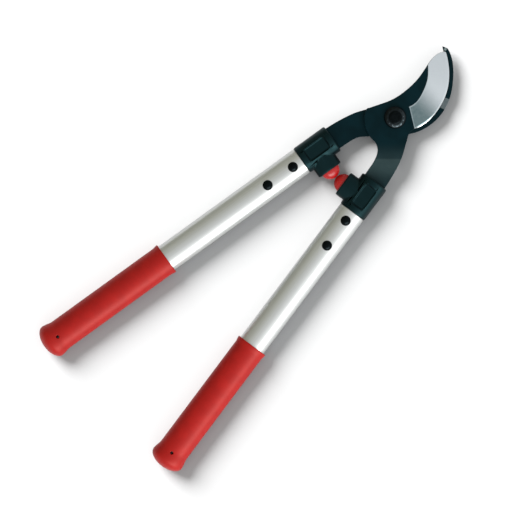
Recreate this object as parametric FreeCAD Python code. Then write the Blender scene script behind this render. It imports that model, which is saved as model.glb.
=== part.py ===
"""Bypass loppers, closed, lying on the pivot nut and the two grips.

The hook side stands still and the blade side turns about the pivot bolt.  Millimetres,
+X right, +Y from the handles to the blades, +Z up.  The origin is on the pivot axis, on
the flat underside of the nut.  Sizes along a handle count backwards from the line
through the pivot that is square to that handle.
"""
import FreeCAD, Part
import math
import os
from FreeCAD import Placement, Rotation, Vector

# Layout of the two handles
HANDLE_ANGLE = 8.67        # each handle from the centre line, degrees
HANDLE_OFFSET = 20.9       # handle axis from the centre line at the pivot, square to the handle
CENTRE_X = 1.25            # the handles' centre line stands this far right of the pivot
COLLAR_FRONT = 63.0        # front of the socket collar
COLLAR_LENGTH = 38.0
TUBE_LENGTH = 291.0
GRIP_LENGTH = 150.8
GRIP_NOSE = 23.4           # solid end of the grip behind the plug
PLUG_FLANGE = 3.0
PLUG_DEPTH = 14.0          # plug inside the tube
PLUG_WALL = 2.0

# Levers
LEVER_THICKNESS = 5.5
SHEAR_GAP = 0.05           # between the two levers
ARM_HALF_WIDTH = 12.1      # where the arm enters the collar
ARM_DEPTH = 7.0            # arm inside the collar before it narrows to the tang
TANG_WIDTH = 15.0
TANG_LENGTH = 82.0
TANG_SLOPE = 3.0           # length of the shoulders between arm and tang
JOGGLE_START = 36.0
JOGGLE_LENGTH = 16.0
EDGE_LAND = 0.9            # blade thickness left at the edge by the wide bevel
EDGE_SHARP = 0.25          # blade thickness left by the narrow bevel
NARROW_BEVEL = 1.6
GROOVE_WIDTH = 11.5        # sap groove across the hook
GROOVE_DEPTH = 1.3
GROOVE_CENTRE = (25.2, 45.6)
GROOVE_TURN = 22.0         # degrees
GROOVE_LENGTH = 60.0       # longer than the hook is wide
HOOK_RELIEF = 1.6          # chamfer under the hook's working edge and back
JAW_LENGTH = 60.0          # only the jaw's two edges are longer

# Oval handle section and what fits on it
TUBE_WIDTH = 28.7
TUBE_HEIGHT = 21.0
TUBE_WALL = 1.8
COLLAR_PROUD = 0.4         # collar over the tube, at the sides
COLLAR_CROWN = 0.9         # collar over the tube, top and bottom
RIM_CHAMFER = 0.9          # edges of the collar and the cup
SPIGOT_END = 4.0           # spigot beyond the tang
GRIP_WALL = 1.4
GRIP_LIP = 0.75            # swell of the front rim
LIP_EDGE = 0.7             # rounding of the rim's front
LIP_FADE = 5.3             # length over which the rim fades into the barrel
GRIP_FLARE = 1.75          # swell of the rear end
FLARE_LENGTH = 11.2
FLARE_STEPS = 4            # ovals along the flare
GRIP_CAP = 9.8             # length of the rounded end
CAP_STEPS = 5              # ovals along the rounded end
HANG_HOLE = 3.2
HANG_HOLE_FROM_END = 17.0

# Bumpers
CUP_WIDTH = 26.6
CUP_HEIGHT = 18.4
CUP_REACH = 24.5           # face of the cup from the handle axis
CUP_CENTRE = 20.3          # behind the collar's front
BUMPER_RADIUS = 9.8
BUMPER_HEIGHT = 14.2
BUMPER_GAP = 0.3           # between the two domes when closed
BUMPER_STEM = 15.0
STEM_DEPTH = 7.0
DOME_RINGS = 4             # steps in the dome of a bumper

# Collar window, measured at its floor
WINDOW_LENGTH = 22.6
WINDOW_WIDTH = 12.2
WINDOW_CORNER = 1.0
WINDOW_OUTWARD = 0.7
WINDOW_FLOOR = 8.8         # above the handle's mid-plane
WINDOW_DRAFT = 32.0        # walls from upright, degrees

# Rivets
RIVET_SHANK = 5.0
RIVET_HEAD = 10.2
RIVET_DOME = 2.4
RIVET_SKIRT = 1.5          # head below the tube's crown, before it is cut to the tube
RIVET_FIRST = 11.0         # behind the collar
RIVET_PITCH = 31.0
RIVET_RINGS = 2            # steps in the dome of a rivet

# Pivot
JOURNAL = 12.0
BUSH_WALL = 2.0
KEY_FLATS = 10.4           # across the two flats that stop the bolt turning
THREAD = 10.0
HEAD_WIDTH = 22.0
HEAD_HEIGHT = 4.3
HEAD_RIM = 0.8             # straight side under the head's dome
HEAD_FLAT = 5.0            # radius of the flat on top
HEAD_STEPS = 4             # steps in the head's dome
WASHER_WIDTH = 20.4
WASHER_THICKNESS = 0.8
NUT_ACROSS_FLATS = 17.0
NUT_FLANGE = 25.0
FLANGE_THICKNESS = 2.6
NUT_TEETH = 24
TOOTH_DEPTH = 1.1
NUT_FLOOR = 1.6
LOCK_SCREW = 5.0
LOCK_HEAD = 9.0
LOCK_HEAD_HEIGHT = 2.3
LOCK_CHAMFER = 0.4
LOCK_KEY = 1.7             # corners of the hexagon socket from the screw's axis
LOCK_KEY_DEPTH = 1.5
LOCK_DEPTH = 4.4           # threaded hole in the hook
LOCK_SPARE = 0.5           # hole beyond the screw's end
LOCK_EDGE = 1.2            # lock plate beyond the screw's head
LOCK_ANGLE = 236.0         # from the pivot to the lock screw, degrees
LOCK_RADIUS = 19.5

# Clearances
RUNNING = 0.05             # journal in bush, on the radius
SLIP = 0.1                 # pieces that slide together at assembly
TOOTH_PLAY = 0.15
OVERLAP = 0.5              # of two volumes that are fused into one piece

# Heights that follow: the grips' flares and the nut rest on one plane
GRIP_ASPECT = (TUBE_HEIGHT + 2 * GRIP_WALL) / (TUBE_WIDTH + 2 * GRIP_WALL)
BUMPER_ASPECT = BUMPER_HEIGHT / BUMPER_RADIUS / 2
MID = (TUBE_WIDTH / 2 + GRIP_WALL + GRIP_FLARE) * GRIP_ASPECT
HOOK_LOW = MID - LEVER_THICKNESS
BLADE_LOW = MID + SHEAR_GAP
BLADE_TOP = BLADE_LOW + LEVER_THICKNESS
TUBE_START = COLLAR_FRONT + COLLAR_LENGTH
TUBE_END = TUBE_START + TUBE_LENGTH
GRIP_END = TUBE_END + PLUG_FLANGE + GRIP_NOSE
RIVET_STATIONS = [TUBE_START + RIVET_FIRST, TUBE_START + RIVET_FIRST + RIVET_PITCH]
UP = Vector(0, 0, 1)
ANGLE = math.radians(HANDLE_ANGLE)


class Outline:
    """A closed flat outline, drawn from point to point with lines, arcs and curves."""

    def __init__(self, start):
        self.first = self.last = Vector(*start)
        self.edges = []

    def _add(self, curve, end):
        self.edges.append(curve.toShape())
        self.last = end
        return self

    def line(self, end):
        end = Vector(*end)
        return self._add(Part.LineSegment(self.last, end), end)

    def arc(self, middle, end):
        end = Vector(*end)
        return self._add(Part.Arc(self.last, Vector(*middle), end), end)

    def curve(self, *points):
        through = [self.last] + [Vector(*point) for point in points]
        spline = Part.BSplineCurve()
        spline.interpolate(through)
        return self._add(spline, through[-1])

    def wire(self):
        if not self.last.isEqual(self.first, 1e-6):
            self.line(self.first)
        return Part.Wire(self.edges)

    def face(self):
        return Part.Face(self.wire())


def lift(point, z):
    return Vector(point[0], point[1], z)


def cylinder(radius, low, high, x=0, y=0):
    return Part.makeCylinder(radius, high - low, Vector(x, y, low), UP)


def oval(width, height, station):
    """Upright oval wire, wider than high, across the handle at a station along it.

    It is drawn with four tangent arcs, two tight ones at the sides and two wide ones
    above and below, by the usual four-centre construction for an ellipse.
    """
    half, rise = width / 2, height / 2
    slant = math.hypot(half, rise)
    tight = slant * (slant - (half - rise)) / (2 * half)
    wide = slant * (slant + (half - rise)) / (2 * rise)
    lean = math.atan2(wide - rise, half - tight)
    x, z = half - tight + tight * math.cos(lean), tight * math.sin(lean)
    y = station
    outline = Outline((x, y, MID - z)).arc((half, y, MID), (x, y, MID + z))
    outline.arc((0, y, MID + rise), (-x, y, MID + z)).arc((-half, y, MID), (-x, y, MID - z))
    outline.arc((0, y, MID - rise), (x, y, MID - z))
    return outline.wire()


def oval_bar(width, height, start, end):
    """Bar of oval section along the handle from start to end."""
    return Part.Face(oval(width, height, start)).extrude(Vector(0, end - start, 0))


def oval_stack(sections, aspect):
    """Solid through ovals of one aspect, given as (half width, station) from end to end."""
    wires = [oval(2 * half, 2 * half * aspect, station) for half, station in sections]
    return Part.makeLoft(wires, True, True)


def dome_rings(radius, base, count):
    """Points (ring radius, height) of a ball's cap from the height base up to a small flat."""
    low = math.asin(base / radius)
    angles = [low + (math.pi / 2 - low) * ring / count for ring in range(count)]
    rings = [(radius * math.cos(angle), radius * math.sin(angle)) for angle in angles]
    return rings + [(rings[-1][0] * 0.4, radius)]


def handle_place():
    """Placement that takes the handle's frame (outward, backward, up) to the hook side."""
    foot = Vector(CENTRE_X - HANDLE_OFFSET * math.cos(ANGLE), HANDLE_OFFSET * math.sin(ANGLE), 0)
    return Placement(foot, Rotation(UP, 180 - HANDLE_ANGLE))


def to_hook_side(shape):
    placed = shape.copy()
    placed.Placement = handle_place().multiply(placed.Placement)
    return placed


def to_blade_side(shape):
    return to_hook_side(shape).mirror(Vector(CENTRE_X, 0, 0), Vector(1, 0, 0))


def arm_point(side, outward, back):
    """Point beside a handle axis: side is -1 on the hook side and 1 on the blade side."""
    across = HANDLE_OFFSET + outward
    x = across * math.cos(ANGLE) + back * math.sin(ANGLE)
    return (CENTRE_X + side * x, across * math.sin(ANGLE) - back * math.cos(ANGLE))


# ---------------------------------------------------------------- levers

def draw_arm(outline, side, crotch, boss):
    """Carry an outline from the crotch down the arm's inner edge, round the tang and back up.

    crotch and boss are the points before and after the arm, in the tool's own frame.
    """
    shoulder = COLLAR_FRONT + ARM_DEPTH
    half, wide = TANG_WIDTH / 2, ARM_HALF_WIDTH
    end = shoulder + TANG_LENGTH

    def at(outward, back):
        return arm_point(side, outward, back)

    outline.curve(*crotch, at(-18.0, 34.6), at(-14.3, 41.0), at(-12.6, 50.0), at(-wide, COLLAR_FRONT))
    outline.line(at(-wide, shoulder)).line(at(-half, shoulder + TANG_SLOPE)).line(at(-half, end - half))
    outline.arc(at(0, end), at(half, end - half))
    outline.line(at(half, shoulder + TANG_SLOPE)).line(at(wide, shoulder)).line(at(wide, COLLAR_FRONT))
    outline.curve(at(11.2, 51.0), at(9.8, 40.0), at(7.3, 28.0), at(3.9, 18.5), *boss)
    return outline


def joggle_slab(low, rise):
    """Slab that steps up by rise between boss and tang, in the handle's frame.

    Each bend is one arc of the S, level where it starts and ends.
    """
    length = JOGGLE_LENGTH
    radius = (length ** 2 + rise ** 2) / (4 * abs(rise))
    turn = 2 * math.atan2(abs(rise), length)
    run, drop = radius * math.sin(turn / 2), radius * (1 - math.cos(turn / 2))
    drop = math.copysign(drop, rise)
    start, end, far = JOGGLE_START, JOGGLE_START + length, GRIP_END

    def point(back, height):
        return Vector(0, back, low + height)

    slab = Outline(point(-far, 0)).line(point(start, 0))
    slab.arc(point(start + run, drop), point(start + length / 2, rise / 2))
    slab.arc(point(end - run, rise - drop), point(end, rise)).line(point(far, rise))
    over = LEVER_THICKNESS
    slab.line(point(far, rise + over)).line(point(end, rise + over))
    slab.arc(point(end - run, rise + over - drop), point(start + length / 2, rise / 2 + over))
    slab.arc(point(start + run, over + drop), point(start, over)).line(point(-far, over))
    face = slab.face()
    face.translate(Vector(-far, 0, 0))
    return face.extrude(Vector(2 * far, 0, 0))


def blade_outline():
    heel = (21.8, 5.8)
    outline = Outline(heel)
    outline.curve((25.3, 16.5), (25.7, 28), (23.4, 41.5), (18.1, 55), (9.4, 67), (-1.4, 76.6), (-11, 82.4))
    outline.arc((-12.4, 81.7), (-13.4, 80.3))
    outline.curve((-16.2, 72), (-14.9, 60.3), (-11.9, 45), (-11.7, 28), (-14.8, 11), (-20.6, -2.4),
                  (-25, -11.5))
    outline.arc((-26.1, -14.4), (-25.0, -17.2))
    outline.arc((-14.6, -27.6), (1.0, -31.5))
    draw_arm(outline, 1, [(5.6, -32.0)], [arm_point(1, 0.9, 10.9), (21.5, -2.2)])
    outline.arc((21.1, 1.8), heel)
    return outline.face()


def hook_outline():
    crown = (-12.6, 86.1)
    outline = Outline((-13.3, 81.1)).line((-17.8, 84.0)).line(crown)
    outline.curve((-8, 84.9), (2.5, 78.9), (14, 67.8), (23.4, 54.8), (29.3, 39.5), (30.5, 25),
                  (27.4, 9.8), (21.6, -1.2))
    outline.arc((17.2, -13.0), (8.5, -22.4))
    draw_arm(outline, -1, [(1.0, -27.3), (-4.9, -31.6)], [(-21.6, -6.2), (-17.0, 4.0), (-10.6, 14.2)])
    outline.arc((-1.2, 17.4), (9.4, 15.4))
    outline.arc((14.6, 15.6), (18.6, 19.6))
    outline.curve((21.0, 30), (18.9, 44), (12.3, 57.5), (2.5, 69), (-7.5, 77.2), (-13.3, 81.1))
    return outline.face()


def lever(face, slab, bore):
    """Plate cut to the outline from the joggled slab, with the pivot hole."""
    deep = Vector(0, 0, 4 * MID)
    blank = face.copy()
    blank.translate(Vector(0, 0, -MID))
    return blank.extrude(deep).common(slab).cut(bore)


# Pairs of (inner end, edge end) of the straight lines that make up the blade's wide bevel
GRIND = [((2.2, 17.4), (21.8, 5.8)), ((3.9, 26), (25.7, 24.5)), ((1.6, 36.5), (23.3, 42)),
         ((-4.8, 50), (14.6, 60.7)), ((-14.7, 60.4), (0.2, 75.3)), ((-26, 71.5), (-14.5, 84.8))]


def grind(pairs):
    """Everything above the ruled surface through the pairs of points."""
    ends = []
    for points in zip(*pairs):
        spline = Part.BSplineCurve()
        spline.interpolate(list(points))
        ends.append(spline.toShape())
    return Part.makeRuledSurface(*ends).extrude(Vector(0, 0, 4 * MID))


def along(inner, edge, share):
    return inner + (edge - inner) * share


def bevels():
    """The wide bevel down to the edge land, then the narrow one that sharpens it."""
    wide, narrow = [], []
    for start, stop in GRIND:
        inner = lift(start, BLADE_TOP)
        edge = lift(stop, BLADE_LOW + EDGE_LAND)
        wide.append((inner, along(inner, edge, 1.2)))
        width = (edge - inner).Length
        shoulder = along(inner, edge, 1 - NARROW_BEVEL / width)
        sharp = lift(stop, BLADE_LOW + EDGE_SHARP)
        narrow.append((along(sharp, shoulder, 2.5), along(shoulder, sharp, 2.5)))
    return grind(wide), grind(narrow)


def cutting_blade():
    slab = to_blade_side(joggle_slab(BLADE_LOW, -SHEAR_GAP - LEVER_THICKNESS / 2))
    bore = cylinder(JOURNAL / 2 + RUNNING + BUSH_WALL, 0, 4 * MID)
    blade = lever(blade_outline(), slab, bore)
    for cutter in bevels():
        blade = blade.cut(cutter)
    return drill_tang(blade, to_blade_side)


def drill_tang(plate, place):
    for back in RIVET_STATIONS:
        plate = plate.cut(place(cylinder(RIVET_SHANK / 2 + SLIP, 0, 4 * MID, 0, back)))
    return plate


def keyed_bar(extra, low, high):
    """Round bar with two flats, the shape that keys the bolt in the hook."""
    flats = KEY_FLATS + 2 * extra
    box = Part.makeBox(flats, JOURNAL * 2, high - low, Vector(-flats / 2, -JOURNAL, low))
    return cylinder(JOURNAL / 2 + extra, low, high).common(box)


def lock_place():
    angle = math.radians(LOCK_ANGLE)
    return LOCK_RADIUS * math.cos(angle), LOCK_RADIUS * math.sin(angle)


def hook_blade():
    slab = to_hook_side(joggle_slab(HOOK_LOW, LEVER_THICKNESS / 2))
    hook = lever(hook_outline(), slab, keyed_bar(SLIP / 2, 0, 4 * MID))
    x, y = lock_place()
    hook = hook.cut(cylinder(LOCK_SCREW / 2, 0, HOOK_LOW + LOCK_DEPTH, x, y))
    corner = Vector(-GROOVE_LENGTH / 2, -GROOVE_WIDTH / 2, MID - GROOVE_DEPTH)
    groove = Part.makeBox(GROOVE_LENGTH, GROOVE_WIDTH, 2 * GROOVE_DEPTH, corner)
    groove.Placement = Placement(Vector(*GROOVE_CENTRE, 0), Rotation(UP, GROOVE_TURN))
    hook = hook.cut(groove)
    under = [edge for edge in hook.Edges if edge.BoundBox.ZMax < HOOK_LOW + 0.01]
    jaw = [edge for edge in under if edge.Length > JAW_LENGTH and edge.CenterOfMass.y > JAW_LENGTH / 2]
    hook = hook.makeChamfer(HOOK_RELIEF, jaw)
    return drill_tang(hook, to_hook_side)


# ---------------------------------------------------------------- handle pieces

def tube():
    bore_width, bore_height = TUBE_WIDTH - 2 * TUBE_WALL, TUBE_HEIGHT - 2 * TUBE_WALL
    body = oval_bar(TUBE_WIDTH, TUBE_HEIGHT, TUBE_START, TUBE_END)
    body = body.cut(oval_bar(bore_width, bore_height, TUBE_START - 1, TUBE_END + 1))
    for back in RIVET_STATIONS:
        body = body.cut(cylinder(RIVET_SHANK / 2 + SLIP, 0, 2 * MID, 0, back))
    return body


def inside_tube(start, end):
    """Oval bar that slides into the tube."""
    spare = 2 * (TUBE_WALL + SLIP)
    return oval_bar(TUBE_WIDTH - spare, TUBE_HEIGHT - spare, start, end)


def to_cup(shape):
    """Turn a piece made along the handle so that it points inward at the bumper's station."""
    shape.rotate(Vector(0, 0, MID), UP, 90)
    shape.translate(Vector(0, COLLAR_FRONT + CUP_CENTRE, 0))
    return shape


def collar_body():
    width, height = TUBE_WIDTH + 2 * COLLAR_PROUD, TUBE_HEIGHT + 2 * COLLAR_CROWN
    collar = oval_bar(width, height, COLLAR_FRONT, TUBE_START)
    return collar.makeChamfer(RIM_CHAMFER, [e for e in collar.Edges if e.BoundBox.YLength < 1e-3])


def bumper_cup():
    cup = oval_bar(CUP_WIDTH, CUP_HEIGHT, TANG_WIDTH / 2, CUP_REACH)
    rim = [e for e in cup.Edges if e.BoundBox.YLength < 1e-3 and e.BoundBox.YMin > CUP_REACH - 1e-3]
    return to_cup(cup.makeChamfer(RIM_CHAMFER, rim))


def rounded_rectangle(width, length, corner, height):
    """Flat wire about the window's centre."""
    x, y = WINDOW_OUTWARD, COLLAR_FRONT + COLLAR_LENGTH / 2
    right, left, rear, front = x + width / 2, x - width / 2, y + length / 2, y - length / 2
    bend = corner * (1 - math.sqrt(0.5))
    outline = Outline((right, front + corner, height)).line((right, rear - corner, height))
    outline.arc((right - bend, rear - bend, height), (right - corner, rear, height))
    outline.line((left + corner, rear, height))
    outline.arc((left + bend, rear - bend, height), (left, rear - corner, height))
    outline.line((left, front + corner, height))
    outline.arc((left + bend, front + bend, height), (left + corner, front, height))
    outline.line((right - corner, front, height))
    outline.arc((right - bend, front + bend, height), (right, front + corner, height))
    return outline.wire()


def window():
    """Flat-bottomed recess with drafted walls, on the top and the bottom of the collar."""
    floor, above = MID + WINDOW_FLOOR, MID + TUBE_HEIGHT
    spread = (above - floor) * math.tan(math.radians(WINDOW_DRAFT))
    low = rounded_rectangle(WINDOW_WIDTH, WINDOW_LENGTH, WINDOW_CORNER, floor)
    high = rounded_rectangle(WINDOW_WIDTH + 2 * spread, WINDOW_LENGTH + 2 * spread,
                             WINDOW_CORNER + spread, above)
    pocket = Part.makeLoft([low, high], True, True)
    return pocket.fuse(pocket.mirror(Vector(0, 0, MID), UP))


def tang_pocket():
    """Room for the arm's end and the tang inside the socket."""
    half_high = LEVER_THICKNESS / 2 + SLIP
    shoulder = COLLAR_FRONT + ARM_DEPTH
    end = shoulder + TANG_LENGTH
    wide, slim = ARM_HALF_WIDTH + 2 * SLIP, TANG_WIDTH / 2 + SLIP
    plan = Outline((-wide, COLLAR_FRONT - 5, MID - half_high)).line((wide, COLLAR_FRONT - 5, MID - half_high))
    z = MID - half_high
    slope = shoulder + TANG_SLOPE + SLIP
    for x, y in [(wide, shoulder + SLIP), (slim, slope), (slim, end + SLIP),
                 (-slim, end + SLIP), (-slim, slope), (-wide, shoulder + SLIP)]:
        plan.line((x, y, z))
    return plan.face().extrude(Vector(0, 0, 2 * half_high))


def socket():
    """One moulding: collar, bumper cup and the spigot that fills the tube's front."""
    spigot_end = COLLAR_FRONT + ARM_DEPTH + TANG_LENGTH + SPIGOT_END
    body = collar_body().fuse(bumper_cup()).fuse(inside_tube(TUBE_START - COLLAR_LENGTH / 2, spigot_end))
    body = body.cut(window()).cut(tang_pocket())
    body = body.cut(bumper_stem(CUP_REACH + 1))
    for back in RIVET_STATIONS:
        body = body.cut(cylinder(RIVET_SHANK / 2 + SLIP, 0, 2 * MID, 0, back))
    return body.removeSplitter()


def bumper_reach():
    """Handle axis to dome centre, so that the two closed domes are BUMPER_GAP apart."""
    station = COLLAR_FRONT + CUP_CENTRE
    half = BUMPER_RADIUS + BUMPER_GAP / 2
    return HANDLE_OFFSET - (half - station * math.sin(ANGLE)) / math.cos(ANGLE)


def bumper_stem(end):
    """Oval stem of the bumper, from its foot in the cup out to end."""
    return to_cup(oval_bar(BUMPER_STEM, BUMPER_STEM * BUMPER_ASPECT, CUP_REACH - STEM_DEPTH, end))


def bumper():
    """Domed rubber stop, an oval in section, with a stem pressed into the cup."""
    reach = bumper_reach()
    rings = dome_rings(BUMPER_RADIUS, CUP_REACH - reach, DOME_RINGS)
    dome = oval_stack([(radius, reach + height) for radius, height in rings], BUMPER_ASPECT)
    return to_cup(dome).fuse(bumper_stem(CUP_REACH + OVERLAP)).removeSplitter()


def rivet(back):
    """Shank through tube, socket and tang, with a domed head shaped to the tube at each end."""
    skin = TUBE_HEIGHT / 2
    ball = (RIVET_DOME ** 2 + (RIVET_HEAD / 2) ** 2) / (2 * RIVET_DOME)
    seat = MID + skin + RIVET_DOME - ball
    profile = Outline((0, 0, MID + skin - RIVET_SKIRT)).line((RIVET_HEAD / 2, 0, MID + skin - RIVET_SKIRT))
    for radius, height in dome_rings(ball, ball - RIVET_DOME, RIVET_RINGS):
        profile.line((radius, 0, seat + height))
    profile.line((0, 0, MID + skin + RIVET_DOME))
    head = profile.face().revolve(Vector(0, 0, 0), UP, 360)
    head.translate(Vector(0, back, 0))
    heads = head.fuse(head.mirror(Vector(0, 0, MID), UP))
    heads = heads.cut(oval_bar(TUBE_WIDTH, TUBE_HEIGHT, back - RIVET_HEAD, back + RIVET_HEAD))
    shank = cylinder(RIVET_SHANK / 2, MID - skin - OVERLAP, MID + skin + OVERLAP, 0, back)
    return heads.fuse(shank).removeSplitter()


def rivets():
    return Part.makeCompound([rivet(back) for back in RIVET_STATIONS])


def end_plug():
    """Moulded cap that closes the tube's rear end inside the grip."""
    body = oval_bar(TUBE_WIDTH, TUBE_HEIGHT, TUBE_END, TUBE_END + PLUG_FLANGE)
    body = body.fuse(inside_tube(TUBE_END - PLUG_DEPTH, TUBE_END + PLUG_FLANGE / 2))
    spare = 2 * (TUBE_WALL + SLIP + PLUG_WALL)
    hollow = oval_bar(TUBE_WIDTH - spare, TUBE_HEIGHT - spare, TUBE_END - PLUG_DEPTH - 1, TUBE_END)
    return body.cut(hollow).removeSplitter()


def grip_sections():
    """Half width and station of the grip's ovals: front rim, barrel, flare and rounded end."""
    front = GRIP_END - GRIP_LENGTH
    shoulder = GRIP_END - GRIP_CAP
    barrel = TUBE_WIDTH / 2 + GRIP_WALL
    flare = barrel + GRIP_FLARE
    sections = [(barrel + GRIP_LIP - LIP_EDGE, front), (barrel + GRIP_LIP, front + LIP_EDGE),
                (barrel + GRIP_LIP / 2, front + LIP_EDGE + LIP_FADE / 2),
                (barrel, front + LIP_EDGE + LIP_FADE)]
    for step in range(FLARE_STEPS):
        share = step / FLARE_STEPS
        swell = (1 - math.cos(math.pi * share)) / 2
        sections.append((barrel + GRIP_FLARE * swell, shoulder - FLARE_LENGTH * (1 - share)))
    for step in range(CAP_STEPS):
        angle = math.pi / 2 * step / CAP_STEPS
        sections.append((flare * math.cos(angle), shoulder + GRIP_CAP * math.sin(angle)))
    return sections + [(sections[-1][0] / 2, GRIP_END)]


def grip():
    """Dipped vinyl sleeve over the tube, closed behind the plug, with a hole to hang it by."""
    body = oval_stack(grip_sections(), GRIP_ASPECT)
    front = GRIP_END - GRIP_LENGTH
    body = body.cut(oval_bar(TUBE_WIDTH, TUBE_HEIGHT, front - 1, TUBE_END + PLUG_FLANGE))
    return body.cut(cylinder(HANG_HOLE / 2, -1, 2 * MID + 1, 0, GRIP_END - HANG_HOLE_FROM_END))


# ---------------------------------------------------------------- pivot

def pivot_bush():
    inner = JOURNAL / 2 + RUNNING
    return cylinder(inner + BUSH_WALL, BLADE_LOW, BLADE_TOP).cut(cylinder(inner, 0, 4 * MID))


def thrust_washer():
    ring = cylinder(WASHER_WIDTH / 2, BLADE_TOP, BLADE_TOP + WASHER_THICKNESS)
    return ring.cut(cylinder(JOURNAL / 2 + RUNNING, 0, 4 * MID))


def pivot_bolt():
    """Domed head, round journal, flats in the hook and a thread in the nut."""
    seat = BLADE_TOP + WASHER_THICKNESS
    radius = HEAD_WIDTH / 2
    head = Outline((0, 0, seat)).line((radius, 0, seat)).line((radius, 0, seat + HEAD_RIM))
    for step in range(1, HEAD_STEPS + 1):
        angle = math.pi / 2 * step / HEAD_STEPS
        across = HEAD_FLAT + (radius - HEAD_FLAT) * math.cos(angle)
        head.line((across, 0, seat + HEAD_RIM + (HEAD_HEIGHT - HEAD_RIM) * math.sin(angle)))
    head.line((0, 0, seat + HEAD_HEIGHT))
    bolt = head.face().revolve(Vector(0, 0, 0), UP, 360)
    bolt = bolt.fuse(cylinder(JOURNAL / 2, MID, seat + OVERLAP)).fuse(keyed_bar(0, HOOK_LOW, MID))
    return bolt.fuse(cylinder(THREAD / 2, NUT_FLOOR + 1, HOOK_LOW)).removeSplitter()


def hexagon(radius, high):
    """Upright hexagonal bar from the ground up, with its corners at radius."""
    angles = [math.radians(60 * corner) for corner in range(7)]
    corners = [Vector(radius * math.cos(angle), radius * math.sin(angle), 0) for angle in angles]
    return Part.Face(Part.makePolygon(corners)).extrude(Vector(0, 0, high))


def toothed_disc(extra, low, high):
    """Disc with V teeth round its rim; extra grows it all round."""
    tips = NUT_FLANGE / 2 + extra
    points = []
    for step in range(2 * NUT_TEETH):
        radius = tips - TOOTH_DEPTH * (step % 2)
        angle = math.pi * step / NUT_TEETH
        points.append(Vector(radius * math.cos(angle), radius * math.sin(angle), low))
    return Part.Face(Part.makePolygon(points + points[:1])).extrude(Vector(0, 0, high - low))


def pivot_nut():
    """Cap nut: flat closed end, hexagon and a toothed flange that the lock plate holds."""
    radius = NUT_ACROSS_FLATS / math.sqrt(3)
    step = HOOK_LOW - FLANGE_THICKNESS
    flat, corner = NUT_ACROSS_FLATS / 2, radius + OVERLAP
    cone = Part.makeCone(flat, corner, corner - flat).fuse(cylinder(corner, corner - flat, MID))
    nut = hexagon(radius, step + OVERLAP).common(cone).fuse(toothed_disc(0, step, HOOK_LOW))
    return nut.cut(cylinder(THREAD / 2, NUT_FLOOR, MID)).removeSplitter()


def lock_plate():
    """Small plate whose teeth mesh with the nut's flange."""
    top, low = HOOK_LOW, HOOK_LOW - FLANGE_THICKNESS
    radius = LOCK_HEAD / 2 + LOCK_EDGE
    reach = LOCK_RADIUS - NUT_FLANGE / 2 + 2 * TOOTH_DEPTH
    plate = cylinder(radius, low, top)
    plate = plate.fuse(Part.makeBox(reach, 2 * radius, top - low, Vector(-reach, -radius, low)))
    plate = plate.cut(cylinder(LOCK_SCREW / 2 + SLIP, 0, MID))
    plate.rotate(Vector(0, 0, 0), UP, LOCK_ANGLE)
    plate.translate(Vector(*lock_place(), 0))
    return plate.cut(toothed_disc(TOOTH_PLAY, 0, MID)).removeSplitter()


def lock_screw():
    x, y = lock_place()
    seat = HOOK_LOW - FLANGE_THICKNESS
    screw = cylinder(LOCK_HEAD / 2, seat - LOCK_HEAD_HEIGHT, seat)
    foot = seat - LOCK_HEAD_HEIGHT
    rim = [edge for edge in screw.Edges if edge.BoundBox.ZMax < foot + 1e-3]
    screw = screw.makeChamfer(LOCK_CHAMFER, rim)
    screw = screw.fuse(cylinder(LOCK_SCREW / 2, seat - OVERLAP, HOOK_LOW + LOCK_DEPTH - LOCK_SPARE))
    key = hexagon(LOCK_KEY, foot + LOCK_KEY_DEPTH)
    screw = screw.cut(key).removeSplitter()
    screw.translate(Vector(x, y, 0))
    return screw


def build():
    handle = {"socket": socket(), "bumper": bumper(), "tube": tube(), "rivets": rivets(),
              "end_plug": end_plug(), "grip": grip()}
    nodes = {"hook_blade": hook_blade(), "cutting_blade": cutting_blade(),
             "pivot_bolt": pivot_bolt(), "thrust_washer": thrust_washer(),
             "pivot_bush": pivot_bush(), "pivot_nut": pivot_nut(),
             "lock_plate": lock_plate(), "lock_screw": lock_screw()}
    for name, shape in handle.items():
        nodes["hook_" + name] = to_hook_side(shape)
        nodes["blade_" + name] = to_blade_side(shape)
    return nodes


def main():
    os.makedirs("parts", exist_ok=True)
    for name, shape in build().items():
        shape.exportStep(os.path.join("parts", name + ".step"))
        box = shape.BoundBox
        print(f"{name:16s} solids {len(shape.Solids)} valid {shape.isValid()} volume {shape.Volume:9.1f} "
              f"z {box.ZMin:6.2f} to {box.ZMax:6.2f}")


main()
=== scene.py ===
import math

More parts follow.
